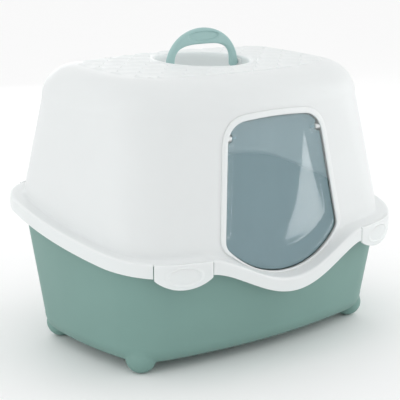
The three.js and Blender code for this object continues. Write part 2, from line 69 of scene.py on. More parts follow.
# Hood's outer face.
HOOD_TOP = 409.5
TOP_FALL = 16.0
SHOULDER_RADIUS = 50.0

# Doorway, and the hinge of the flap with the two hooks on it.
DOOR_WIDTH = 215.0
DOOR_TOP_WIDTH = 172.0
DOOR_TOP = 348.0
DOOR_TOP_BOW = 5.5
DOOR_SILL_STEP = 3.0
DOOR_SILL_RISE = 48.0
DOOR_TOP_CORNER = 30.0
DOOR_SILL_CORNER = 9.0
DOOR_HALF_AT_AXIS = 89.09
FLAP_AXIS_Y = -147.946
FLAP_AXIS_Z = 323.5
HOOK_RADIUS = 3.6
HOOK_LENGTH = 9.0

# Clips and the slots that they sit in.
CLIP_WIDTH = 86.0
CLIP_THICKNESS = 3.2
CLIP_PROUD = 0.9
CLIP_SLOT = 2.5

# Handle and the round recess that it folds into.
HANDLE_Y = 13.0
HANDLE_WIDTH = 134.0
RECESS_RADIUS = 71.0

# Points on each stretch of half an outline.
FRONT_STEPS = 64
BACK_STEPS = 46
CORNER_STEPS = 28
END_STEPS = 16

DIP_HALF = DOOR_WIDTH / 2 + SILL_BLEND
CLIP_CENTRE = DIP_HALF + CLIP_SLOT + CLIP_WIDTH / 2

# Left and right, or front and back.
BOTH_SIDES = (-1, 1)


# ---------------------------------------------------------------- small sums


def mix(a: float, b: float, t: float) -> float:
    """A value t of the way from a to b."""
    return a + (b - a) * t


def ease(low: float, high: float, value: float) -> float:
    """A smooth step from 0 at low to 1 at high."""
    t = min(max((value - low) / (high - low), 0.0), 1.0)
    return t * t * (3 - 2 * t)


def soft_max(a: float, b: float, blend: float) -> float:
    """The larger of two lengths, with a rounded change-over as wide as blend."""
    near = max(blend - abs(a - b), 0.0) / blend
    return max(a, b) + near * near * blend / 4


def quarter_turn(steps: int) -> list[float]:
    """Angles from 0 to a right angle in equal steps, both ends included."""
    return [math.pi / 2 * i / steps for i in range(steps + 1)]


# ---------------------------------------------------------------- plan outlines


@dataclass(frozen=True)
class Arc:
    """Part of a circle in plan, from one angle to another."""

    centre: Flat
    radius: float
    start: float
    end: float

    def points(self, steps: int) -> list[Flat]:
        """Walks along the arc in equal steps.

        Args:
            steps: how many points to set.

        Returns:
            The points, the arc's last end left out.
        """
        x, y = self.centre
        angles = [mix(self.start, self.end, i / steps) for i in range(steps)]
        return [(x + self.radius * math.cos(a), y + self.radius * math.sin(a)) for a in angles]


@dataclass(frozen=True)
class Plan:
    """A plan with four bowed sides and rounded corners, alike on the left and the right."""

    length: float
    front: float
    back: float
    front_radius: float
    back_radius: float

    def mixed(self, other: "Plan", t: float) -> "Plan":
        """Blends this plan with another.

        Args:
            other: the other plan.
            t: how far to go towards it, from 0 to 1.

        Returns:
            The plan in between.
        """
        return Plan(
            mix(self.length, other.length, t),
            mix(self.front, other.front, t),
            mix(self.back, other.back, t),
            mix(self.front_radius, other.front_radius, t),
            mix(self.back_radius, other.back_radius, t),
        )

    def quarter(self, inset: float, side: int) -> tuple[Arc, Arc, Arc]:
        """Works out the three arcs of one quarter, each tangent to the next.

        Args:
            inset: how far the outline is moved inwards.
            side: -1 for the front, 1 for the back.

        Returns:
            The long, corner and end arcs of the right half.
        """
        long, short = FRONT_BOW - inset, END_BOW - inset
        reach = (self.front if side < 0 else self.back) - inset
        radius = (self.front_radius if side < 0 else self.back_radius) - inset
        long_centre = Vector((0.0, side * (reach - long)))
        end_centre = Vector((self.length - inset - short, END_BOW_SHIFT))
        apart = end_centre - long_centre
        gap = apart.length
        along = ((long - radius) ** 2 - (short - radius) ** 2 + gap**2) / (2 * gap)
        across = math.sqrt((long - radius) ** 2 - along**2)
        normal = Vector((-apart.y, apart.x)) * (-side / gap)
        centre = long_centre + apart * (along / gap) + normal * across
        first = math.atan2(*reversed(centre - long_centre))
        second = math.atan2(*reversed(centre - end_centre))
        return (
            Arc(tuple(long_centre), long, side * math.pi / 2, first),
            Arc(tuple(centre), radius, first, second),
            Arc(tuple(end_centre), short, second, 0.0),
        )

    def outline(self, inset: float) -> list[Flat]:
        """Walks round the whole plan.

        Args:
            inset: how far the outline is moved inwards.

        Returns:
            The outline, anticlockwise from the middle of the front.
        """
        halves = []
        for side, steps in ((-1, FRONT_STEPS), (1, BACK_STEPS)):
            long, corner, end = self.quarter(inset, side)
            points = long.points(steps) + corner.points(CORNER_STEPS) + end.points(END_STEPS)
            halves.append(points)
        right = halves[0] + [(self.length - inset, END_BOW_SHIFT)] + halves[1][::-1]
        left = [(-x, y) for x, y in right[1:-1][::-1]]
        return right + left

    def edge(self, inset: float, x: float, side: int = -1) -> float:
        """Finds how far along Y the outline lies at one x.

        Args:
            inset: how far the outline is moved inwards.
            x: the place along X.
            side: -1 for the front, 1 for the back.

        Returns:
            The outline's y there.
        """
        long, corner, _ = self.quarter(inset, side)
        tangent = long.centre[0] + long.radius * math.cos(long.end)
        arc = long if abs(x) < tangent else corner
        across = abs(x) - arc.centre[0]
        return arc.centre[1] + side * math.sqrt(max(arc.radius**2 - across**2, 0.0))


FLANGE = Plan(BOX_LENGTH / 2, BOX_DEPTH / 2, BOX_DEPTH / 2, 102.0, 71.0)
WALL_FOOT = Plan(259.0, 179.0, 179.0, 81.0, 50.0)
SHOULDER = Plan(237.0, 152.0, 160.0, 110.0, 76.0)
TRAY_BOTTOM = Plan(242.0, 159.0, 159.0, 72.0, 72.0)


def rim_z(x: float, y: float) -> float:
    """The flange's top line, which climbs to the back and dips under the doorway.

    Args:
        x: the place along X.
        y: the place along Y.

    Returns:
        The height there.
    """
    climb = RIM_RISE * (y + BOX_DEPTH / 2) / BOX_DEPTH
    near_front = ease(0.0, BOX_DEPTH / 4, -y)
    share = max(math.cos(math.pi / 2 * min(abs(x) / DIP_HALF, 1.0)), 0.0)
    return RIM_HEIGHT + climb - SILL_DIP * share**1.5 * near_front


def top_z(y: float) -> float:
    """The hood's top, which falls a little to the front."""
    return HOOD_TOP + TOP_FALL * (y - HANDLE_Y) / BOX_DEPTH


def ring(points: Iterable[Flat], height: Callable[[float, float], float]) -> Ring:
    """An outline with its height at each point."""
    return [Vector((x, y, height(x, y))) for x, y in points]


def rim_ring(inset: float, offset: float) -> Ring:
    """The flange's outline moved inwards, at an offset from the rim's own height."""
    return ring(FLANGE.outline(inset), lambda x, y: rim_z(x, y) + offset)


def between(first: Ring, last: Ring, t: float) -> Ring:
    """The ring t of the way from one ring to another."""
    return [a.lerp(b, t) for a, b in zip(first, last)]


def shrunk(whole: Ring, centre: Vector) -> Ring:
    """A ring gathered into one point."""
    return [centre.copy() for _ in whole]


def front_wall_y(x: float, z: float) -> float:
    """Finds the hood's front wall, whose foot and top both depend on where it lies.

    Args:
        x: the place along X.
        z: the height.

    Returns:
        The wall's y there.
    """
    rounds = 6
    y = -WALL_FOOT.front
    for _ in range(rounds):
        low = rim_z(x, y) + LEDGE_FILLET
        high = top_z(y) - SHOULDER_RADIUS
        t = min((z - low) / (high - low), 1.0)
        y = WALL_FOOT.mixed(SHOULDER, t).edge(0.0, x)
    over = min(max(z - (top_z(y) - SHOULDER_RADIUS), 0.0) / SHOULDER_RADIUS, 1.0)
    return y + SHOULDER_RADIUS * (1 - math.sqrt(1 - over * over))


# ---------------------------------------------------------------- making meshes


def wrapped(rows: Sequence[Ring], loop: bool = True) -> bmesh.types.BMesh:
    """A skin through rings of equal counts: a grid bent round until its sides meet.

    Args:
        rows: the rings, in order along the skin, in millimetres.
        loop: whether the last point of each ring is joined to its first.

    Returns:
        The skin in metres, welded where its rings meet or gather into a point.
    """
    count = len(rows[0])
    across = count if loop else count - 1
    bm = bmesh.new()
    bmesh.ops.create_grid(bm, x_segments=across, y_segments=len(rows) - 1, size=1.0)
    for vert in bm.verts:
        column = round((vert.co.x + 1) / 2 * across) % count
        row = round((vert.co.y + 1) / 2 * (len(rows) - 1))
        vert.co = rows[row][column] * MM
    bmesh.ops.remove_doubles(bm, verts=bm.verts, dist=1e-7)
    return bm


def as_mesh(bm: bmesh.types.BMesh, name: str) -> bpy.types.Mesh:
    """Turns a bmesh into a finished mesh with its faces turned outwards.

    Args:
        bm: the bmesh, which is freed.
        name: the mesh's name.

    Returns:
        The new mesh.
    """
    bmesh.ops.recalc_face_normals(bm, faces=bm.faces)
    mesh = bpy.data.meshes.new(name)
    bm.to_mesh(mesh)
    bm.free()
    return mesh


def as_piece(bm: bmesh.types.BMesh, name: str) -> bpy.types.Object:
    """Puts a bmesh's finished mesh into the scene.

    Args:
        bm: the bmesh, which is freed.
        name: the piece's name.

    Returns:
        The new object, at the origin.
    """
    piece = bpy.data.objects.new(name, as_mesh(bm, name))
    bpy.context.scene.collection.objects.link(piece)
    return piece


def joined(parts: Sequence[bmesh.types.BMesh], weld: float = 0.0) -> bmesh.types.BMesh:
    """Puts several bmeshes into one.

    Args:
        parts: the bmeshes, which are freed.
        weld: how near two points must lie to be merged, in metres, or 0 to merge none.

    Returns:
        The whole.
    """
    whole = bmesh.new()
    for part in parts:
        mesh = as_mesh(part, "part")
        whole.from_mesh(mesh)
        bpy.data.meshes.remove(mesh)
    if weld:
        bmesh.ops.remove_doubles(whole, verts=whole.verts, dist=weld)
    return whole


def carve(piece: bpy.types.Object, cutters: Sequence[bpy.types.Object]) -> None:
    """Cuts pieces away from another one for good.

    Args:
        piece: the piece that is cut.
        cutters: the pieces to cut away, which are removed.
    """
    for cutter in cutters:
        cut = piece.modifiers.new("cut", "BOOLEAN")
        cut.operation = "DIFFERENCE"
        cut.solver = "EXACT"
        cut.object = cutter
    bpy.context.view_layer.update()
    graph = bpy.context.evaluated_depsgraph_get()
    made = bpy.data.meshes.new_from_object(piece.evaluated_get(graph))
    piece.modifiers.clear()
    piece.data = made
    for cutter in cutters:
        bpy.data.objects.remove(cutter)


def rod(radius: float, low: Vector, high: Vector, edge: float = 0.6) -> bmesh.types.BMesh:
    """Makes a round bar between two points.

    Args:
        radius: the bar's radius.
        low: the middle of one end.
        high: the middle of the other end.
        edge: how far its end edges are softened.

    Returns:
        The bar.
    """
    bm = bmesh.new()
    along = high - low
    bmesh.ops.create_cone(
        bm,
        cap_ends=True,
        segments=40,
        radius1=radius * MM,
        radius2=radius * MM,
        depth=along.length * MM,
    )
    rims = [e for e in bm.edges if not all(len(f.verts) == 4 for f in e.link_faces)]
    bmesh.ops.bevel(
        bm, geom=rims, offset=edge * MM, segments=3, profile=0.5, affect="EDGES", material=-1
    )
    turn = Vector((0, 0, 1)).rotation_difference(along).to_matrix().to_4x4()
    place = Matrix.Translation((low + high) / 2 * MM)
    bmesh.ops.transform(bm, matrix=place @ turn, verts=bm.verts)
    return bm


def soft_block(low: Vector, high: Vector, edge: float) -> bmesh.types.BMesh:
    """Makes a block with all its edges rounded.

    Args:
        low: its lowest corner.
        high: its highest corner.
        edge: how far the edges are rounded.

    Returns:
        The block.
    """
    bm = bmesh.new()
    bmesh.ops.create_cube(bm, size=1.0)
    size = (high - low) * MM
    bmesh.ops.scale(bm, vec=size, verts=bm.verts)
    bmesh.ops.translate(bm, vec=(low + high) / 2 * MM, verts=bm.verts)
    bmesh.ops.bevel(
        bm,
        geom=bm.edges[:],
        offset=edge * MM,
        segments=4,
        profile=0.5,
        affect="EDGES",
        material=-1,
    )
    return bm


# ---------------------------------------------------------------- finishes


def linear(channel: float) -> float:
    """A display value of 0 to 255 as linear light."""
    c = channel / 255
    return c / 12.92 if c <= 0.04045 else ((c + 0.055) / 1.055) ** 2.4


class Clarity(Enum):
    """How much light passes through a moulding."""

    OPAQUE = 1.0
    CLEAR = 0.3


@dataclass(frozen=True)
class Plastic:
    """A moulded plastic: its display colour, gloss, and the grain of its surface in millimetres."""

    slot: str
    colour: tuple[int, int, int]
    roughness: float
    grain_size: float
    grain_depth: float
    drift: float = 0.03
    glow: float = 0.0
    clarity: Clarity = Clarity.OPAQUE
    shine: float = 0.5

    def material(self) -> bpy.types.Material:
        """The plastic as a node material, made the first time that it's asked for.

        Returns:
            A material whose colour drifts slightly over the moulding and whose grain is a bump.
        """
        name = f"{self.slot}_finish"
        made = bpy.data.materials.get(name)
        if made:
            return made
        made = bpy.data.materials.new(name)
        made.use_nodes = True
        nodes, links = made.node_tree.nodes, made.node_tree.links
        shader = nodes["Principled BSDF"]
        place = nodes.new("ShaderNodeTexCoord")
        drift = nodes.new("ShaderNodeTexNoise")
        drift.inputs["Scale"].default_value = 9.0
        drift.inputs["Detail"].default_value = 3.0
        links.new(place.outputs["Object"], drift.inputs["Vector"])
        ramp = nodes.new("ShaderNodeValToRGB")
        base = [linear(c) for c in self.colour]
        low, high = ramp.color_ramp.elements
        low.position, high.position = 0.3, 0.7
        low.color = (*[c * (1 - self.drift) for c in base], 1)
        high.color = (*[min(c * (1 + self.drift), 1.0) for c in base], 1)
        links.new(drift.outputs["Fac"], ramp.inputs["Fac"])
        links.new(ramp.outputs["Color"], shader.inputs["Base Color"])
        grain = nodes.new("ShaderNodeTexNoise")
        grain.inputs["Scale"].default_value = 1 / (self.grain_size * MM)
        grain.inputs["Detail"].default_value = 4.0
        links.new(place.outputs["Object"], grain.inputs["Vector"])
        bump = nodes.new("ShaderNodeBump")
        bump.inputs["Strength"].default_value = 1.0
        bump.inputs["Distance"].default_value = self.grain_depth * MM
        links.new(grain.outputs["Fac"], bump.inputs["Height"])
        links.new(bump.outputs["Normal"], shader.inputs["Normal"])
        shader.inputs["Roughness"].default_value = self.roughness
        shader.inputs["IOR"].default_value = 1.49
        shader.inputs["Specular IOR Level"].default_value = self.shine
        shader.inputs["Alpha"].default_value = self.clarity.value
        if self.glow:
            shader.inputs["Subsurface Weight"].default_value = self.glow
            shader.inputs["Subsurface Radius"].default_value = (1.0, 1.0, 1.0)
            shader.inputs["Subsurface Scale"].default_value = 6 * MM
        return made


WHITE_PLASTIC = Plastic(
    "hood_plastic",
    colour=(228, 232, 232),
    roughness=0.42,
    grain_size=1.6,
    grain_depth=0.02,
    drift=0.008,
    glow=0.6,
)
SAGE_PLASTIC = Plastic(
    "tray_plastic",
    colour=(122, 155, 148),
    roughness=0.5,
    grain_size=1.6,
    grain_depth=0.03,
    shine=0.3,
)
GRIP_PLASTIC = Plastic(
    "handle_plastic",
    colour=(158, 190, 188),
    roughness=0.4,
    grain_size=1.4,
    grain_depth=0.02,
    drift=0.02,
    shine=0.3,
)
CLEAR_PLASTIC = Plastic(
    "flap_plastic",
    colour=(176, 206, 215),
    roughness=0.04,
    grain_size=6.0,
    grain_depth=0.0005,
    drift=0.02,
    clarity=Clarity.CLEAR,
)
FLOOR_PAINT = Plastic(
    "studio_floor",
    colour=(249, 249, 249),
    roughness=0.8,
    grain_size=4.0,
    grain_depth=0.005,
    drift=0.002,
)


def glowing(name: str, strength: float) -> bpy.types.Material:
    """A plain white material that gives light of its own.

    Args:
        name: the material's name.
        strength: how strongly it glows.

    Returns:
        The new material.
    """
    made = bpy.data.materials.new(name)
    made.use_nodes = True
    shader = made.node_tree.nodes["Principled BSDF"]
    shader.inputs["Base Color"].default_value = (0.0, 0.0, 0.0, 1.0)
    shader.inputs["Emission Color"].default_value = (1.0, 1.0, 1.0, 1.0)
    shader.inputs["Emission Strength"].default_value = strength
    return made


def dress(piece: bpy.types.Object, finish: Plastic, body: str, crease: float = 32.0) -> None:
    """Smooths a piece up to its creases, gives it a finish and sets it on its body.

    Args:
        piece: the finished piece.
        finish: what it's made of.
        body: the moving body that carries it.
        crease: the angle in degrees above which an edge stays sharp.
    """
    bm = bmesh.new()
    bm.from_mesh(piece.data)
    for face in bm.faces:
        face.smooth = True
    for edge in bm.edges:
        edge.smooth = edge.calc_face_angle(0.0) < math.radians(crease)
    bm.to_mesh(piece.data)
    bm.free()
    piece.data.materials.clear()
    piece.data.materials.append(finish.material())
    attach(piece, body)
    log.info("%s: %d faces", piece.name, len(piece.data.polygons))


# ---------------------------------------------------------------- tray


@dataclass(frozen=True)
class Tray:
    """The open tray, with its lip and four feet moulded into the bottom corners."""

    finish: Plastic
    wall_inset: float = 19.0
    bottom_radius: float = 31.0
    underside: float = 13.0
    wall: float = 2.8
    floor_margin: float = 66.0
    lip_inset: float = 3.7
    lip_top: float = -3.4
    lip_under: float = -6.4
    lip_fillet: float = 0.6
    foot_x: float = 203.0
    foot_y: float = 102.0
    foot_radius: float = 22.0
    foot_tread: float = 0.4
    foot_spread: float = 14.0
    foot_blend: float = 5.0
    notch_width: float = 51.0
    notch_out: float = 6.0
    notch_in: float = 5.8
    notch_low: float = -16.0
    notch_high: float = 2.0

    def _bowl(self, inset: float, steps: int) -> list[Ring]:
        """Draws the floor and the rounded bottom edge.

        Args:
            inset: 0 for the outer face, or the wall for the inner one.
            steps: how many steps the rounded edge has.

        Returns:
            Rings from the middle of the floor to the top of the rounded edge.
        """
        round_radius = self.bottom_radius - inset
        floor = self.underside + inset
        flat = ring(TRAY_BOTTOM.outline(self.floor_margin), lambda x, y: floor)
        middle = shrunk(flat, Vector((0.0, 0.0, floor)))
        rings = [middle] + [between(middle, flat, t) for t in (0.3, 0.6, 0.85)]
        floor_steps = 8
        for i in range(floor_steps):
            drawn_in = mix(self.floor_margin, self.bottom_radius, i / floor_steps)
            rings.append(ring(TRAY_BOTTOM.outline(drawn_in), lambda x, y: floor))
        for angle in quarter_turn(steps)[::-1]:
            drawn_in = inset + round_radius * (1 - math.cos(angle))
            height = floor + round_radius * (1 - math.sin(angle))
            rings.append(ring(TRAY_BOTTOM.outline(drawn_in), lambda x, y: height))
        return rings

    def _outside(self) -> bmesh.types.BMesh:
        """Draws the outer face.

        Returns:
            The skin from the middle of the underside, with the feet, to the top of the lip.
        """
        rings = self._bowl(0.0, 14)
        foot, under = rings[-1], rim_ring(self.wall_inset, self.lip_under)
        wall_steps = 16
        rings += [between(foot, under, i / wall_steps) for i in range(1, wall_steps)]
        rings += [
            under,
            rim_ring(self.wall_inset - self.lip_fillet, self.lip_under),
            rim_ring(self.lip_inset, self.lip_under),
            rim_ring(self.lip_inset, self.lip_top),
            rim_ring(self.wall_inset + self.wall, self.lip_top),
        ]
        bm = wrapped(rings)
        self._add_feet(bm)
        return bm

    def _add_feet(self, bm: bmesh.types.BMesh) -> None:
        """Swells the bottom corners into round feet that blend into the walls.

        Args:
            bm: the tray's outer skin, which is changed.
        """
        centres = [
            Vector((x, y, self.foot_radius - self.foot_tread)) * MM
            for x in (-self.foot_x, self.foot_x)
            for y in (-self.foot_y, self.foot_y)
        ]
        reach = (self.foot_radius + self.foot_spread) * MM
        near = [
            edge
            for edge in bm.edges
            if all(min((v.co - c).length for c in centres) < reach for v in edge.verts)
        ]
        bmesh.ops.subdivide_edges(bm, edges=near, cuts=2, use_grid_fill=True)
        for vert in bm.verts:
            centre = min(centres, key=lambda c: (vert.co - c).length)
            away = vert.co - centre
            if away.length > reach:
                continue
            swollen = soft_max(away.length, self.foot_radius * MM, self.foot_blend * MM)
            vert.co = centre + away * (swollen / away.length)
            vert.co.z = max(vert.co.z, 0.0)

    def _inside(self) -> bmesh.types.BMesh:
        """Draws the inner face.

        Returns:
            The skin from the middle of the floor to the top of the lip.
        """
        rings = self._bowl(self.wall, 10)
        top = rim_ring(self.wall_inset + self.wall, self.lip_top)
        wall_steps = 8
        rings += [between(rings[-1], top, i / wall_steps) for i in range(1, wall_steps + 1)]
        return wrapped(rings)

    def build(self) -> bpy.types.Object:
        """Makes the tray.

        Returns:
            The finished piece, riding on the tray's body.
        """
        bm = joined([self._outside(), self._inside()], weld=1e-6)
        piece = as_piece(bm, "tray_moulding")
        self._notch(piece)
        dress(piece, self.finish, "tray")
        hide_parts("tray")
        return piece

    def _notch(self, piece: bpy.types.Object) -> None:
        """Cuts the lip away where the hook bars of the clips pass.

        Args:
            piece: the tray, which is cut.
        """
        inset = (-self.notch_out, self.notch_in)
        height = (self.notch_low, self.notch_high)
        curves = [FlangeCurve(end, side) for end in BOTH_SIDES for side in BOTH_SIDES]
        carve(piece, [curve.band(self.notch_width, inset, height, "notch") for curve in curves])


# ---------------------------------------------------------------- flange curve and clips


class FlangeCurve:
    """The flange's edge beside one clip, measured by its length from the clip's middle."""

    STEP = 0.5
    MARGIN = 25

    def __init__(self, end: int, side: int) -> None:
        """Walks the edge.

        Args:
            end: -1 for the left clip, 1 for the right one.
            side: -1 for the front, 1 for the back.
        """
        self.end = end
        self.side = side
        count = round((CLIP_WIDTH + 2 * self.MARGIN) / self.STEP)
        start = CLIP_CENTRE - CLIP_WIDTH / 2 - self.MARGIN
        xs = [start + i * self.STEP for i in range(count + 1)]
        self.flat = [Vector((x, FLANGE.edge(0.0, x, side))) for x in xs]
        self.lengths = [0.0]
        for a, b in zip(self.flat, self.flat[1:]):
            self.lengths.append(self.lengths[-1] + (b - a).length)
        middle = min(range(len(xs)), key=lambda i: abs(xs[i] - CLIP_CENTRE))
        offset = self.lengths[middle]
        self.lengths = [length - offset for length in self.lengths]

    def at(self, along: float, up: float, out: float) -> Vector:
        """A point beside the edge, in millimetres.

        Args:
            along: distance along the edge from the clip's middle, towards the corner.
            up: height above the rim.
            out: distance out from the edge.

        Returns:
            The point.
        """
        last = len(self.lengths) - 2
        i = next((k for k in range(last) if self.lengths[k + 1] >= along), last)
        share = (along - self.lengths[i]) / (self.lengths[i + 1] - self.lengths[i])
        a, b = self.flat[i], self.flat[i + 1]
        point = a.lerp(b, share)
        way = (b - a).normalized()
        normal = Vector((-way.y, way.x)) * self.side
        placed = point + normal * out
        return Vector((self.end * placed.x, placed.y, rim_z(point.x, point.y) + up))

    def band(self, width: float, inset: Flat, height: Flat, name: str) -> bpy.types.Object:
        """Makes a block that follows the edge.

        Args:
            width: its length along the edge, centred on the clip.
            inset: how far in from the edge its outer and its inner face lie.
            height: how far above the rim its lower and its upper face lie.
            name: the block's name.

        Returns:
            The block.
        """
        (outer, inner), (low, high) = inset, height
        steps = 24
        rings = []
        for i in range(steps + 1):
            along = mix(-width / 2, width / 2, i / steps)
            corners = ((low, -outer), (high, -outer), (high, -inner), (low, -inner))
            rings.append([self.at(along, up, out) for up, out in corners])
        caps = [sum(r, Vector()) / 4 for r in (rings[0], rings[-1])]
        whole = [shrunk(rings[0], caps[0]), *rings, shrunk(rings[0], caps[1])]
        return as_piece(wrapped(whole), name)


@dataclass(frozen=True)
class Clip:
    """A side clip: a plate shaped like a wide D that follows the flange, with an oval ring."""

    node: str
    end: int
    side: int
    finish: Plastic
    side_height: float = 22.0
    height: float = 36.0
    belly: float = 0.85
    oval_length: float = 52.0
    oval_height: float = 25.0
    oval_drop: float = 17.5
    oval_proud: float = 0.9
    oval_sunk: float = 0.35
    oval_share: float = 0.11
    bar_width: float = 46.0
    bar_overlap: float = 0.6
    bar_reach: float = 3.1
    bar_low: float = -11.0
    bar_high: float = -7.4

    def _outline(self) -> list[Flat]:
        """Draws the plate's edge.

        Returns:
            Points along and up, from the upper inner corner round to the same.
        """
        half = CLIP_WIDTH / 2
        top_steps, side_steps, belly_steps = 32, 10, 60
        points = [(mix(-half, half, i / top_steps), 0.0) for i in range(top_steps)]
        points += [(half, -self.side_height * i / side_steps) for i in range(side_steps)]
        for i in range(belly_steps):
            x = mix(half, -half, i / belly_steps)
            bow = (1 - (x / half) ** 2) ** self.belly
            points.append((x, -self.side_height - (self.height - self.side_height) * bow))
        points += [(-half, -self.side_height * (1 - i / side_steps)) for i in range(side_steps)]
        return points

    def _ring_height(self, along: float, up: float) -> float:
        """Finds how far the oval ring stands above the plate.

        Args:
            along: the place along the flange.
            up: the height above the rim.

        Returns:
            The height of the ring there, or a negative depth inside it.
        """
        high = (up + self.oval_drop) / (self.oval_height / 2)
        place = math.hypot(along / (self.oval_length / 2), high)
        inner = self.oval_sunk * (1 - ease(0.78, 0.95, place))
        return self.oval_proud * max(1 - abs(place - 1) / self.oval_share, 0.0) ** 0.6 - inner

    def build(self) -> bpy.types.Object:
        """Makes the clip with the hook bar on its back.

        Returns:
            The finished piece, riding on its own body.
        """
        curve = FlangeCurve(self.end, self.side)
        outline = self._outline()
        centre = (0.0, -self.oval_drop)
        front, back = CLIP_PROUD, CLIP_PROUD - CLIP_THICKNESS
        face_steps = 42
        profile = [(i / face_steps, front) for i in range(face_steps - 1)]
        profile += [(0.985, front - 0.15), (0.995, front - 0.5), (1.0, front - 1.1)]
        profile += [(1.0, back), (0.97, back), (0.5, back), (0.0, back)]
        rings = []
        for scale, out in profile:
            row = []
            for x, up in outline:
                along = mix(centre[0], x, scale)
                height = mix(centre[1], up, scale)
                raised = self._ring_height(along, height) if out == front else 0.0
                row.append(curve.at(along, height, out + raised))
            rings.append(row)
        plate = wrapped(rings)
        inset = (-back - self.bar_overlap, -back + self.bar_reach)
        bar = curve.band(self.bar_width, inset, (self.bar_low, self.bar_high), "bar")
        bar_bm = bmesh.new()
        bar_bm.from_mesh(bar.data)
        bpy.data.objects.remove(bar)
        piece = as_piece(joined([plate, bar_bm]), f"{self.node}_plate")
        dress(piece, self.finish, self.node, 38.0)
        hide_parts(self.node)
        return piece


# ---------------------------------------------------------------- doorway outline


def bend(start: Vector, corner: Vector, end: Vector, steps: int) -> list[Flat]:
    """Rounds one corner of an outline.

    Args:
        start: where the bend leaves the first side.
        corner: where the two sides would meet.
        end: where the bend joins the second side.
        steps: how many points to set.

    Returns:
        Points along the bend, its last end left out.
    """
    made = []
    for i in range(steps):
        t = i / steps
        made.append(tuple(start.lerp(corner, t).lerp(corner.lerp(end, t), t)))
    return made


def door_outline() -> list[Flat]:
    """Draws the doorway's edge: a bowed sill, leaning sides and a bowed top, with soft corners.

    Returns:
        Points in X and Z, anticlockwise seen from the front, from the middle of the sill.
    """
    sill = rim_z(0.0, -WALL_FOOT.front) + DOOR_SILL_STEP
    corner_z = sill + DOOR_SILL_RISE
    half, top_half = DOOR_WIDTH / 2, DOOR_TOP_WIDTH / 2
    radius = (half**2 + DOOR_SILL_RISE**2) / (2 * DOOR_SILL_RISE)
    centre_z = sill + radius
    spread = math.asin(half / radius) - DOOR_SILL_CORNER / radius
    low, high = Vector((half, corner_z)), Vector((top_half, DOOR_TOP - DOOR_TOP_BOW))
    side_low = low + (high - low).normalized() * DOOR_SILL_CORNER
    side_high = high + (low - high).normalized() * DOOR_TOP_CORNER
    top_end_x = top_half - DOOR_TOP_CORNER
    fall = DOOR_TOP_BOW * (top_end_x / top_half) ** 2
    top_end = Vector((top_end_x, DOOR_TOP - fall))
    top_middle = Vector((0.0, DOOR_TOP))
    top_bend = Vector((top_end_x / 2, DOOR_TOP))

    steps = 40
    sill_end = Vector((radius * math.sin(spread), centre_z - radius * math.cos(spread)))
    angles = [spread * i / steps for i in range(steps)]
    right = [(radius * math.sin(a), centre_z - radius * math.cos(a)) for a in angles]
    right += bend(sill_end, low, side_low, 10)
    right += [tuple(side_low.lerp(side_high, i / steps)) for i in range(steps)]
    right += bend(side_high, high, top_end, 16)
    right += bend(top_end, top_bend, top_middle, 20) + [tuple(top_middle)]
    left = [(-x, z) for x, z in right[1:-1][::-1]]
    return right + left


def grown(points: Sequence[Flat], margin: Callable[[float, float], float]) -> list[Flat]:
    """Moves a closed outline outwards.

    Args:
        points: the outline, anticlockwise.
        margin: how far to move it at each place, which is negative to move it inwards.

    Returns:
        The moved outline.
    """
    made = []
    for i, (x, z) in enumerate(points):
        before, after = points[i - 1], points[(i + 1) % len(points)]
        way = Vector((after[0] - before[0], after[1] - before[1])).normalized()
        out = margin(x, z)
        made.append((x + way.y * out, z - way.x * out))
    return made


# ---------------------------------------------------------------- hood


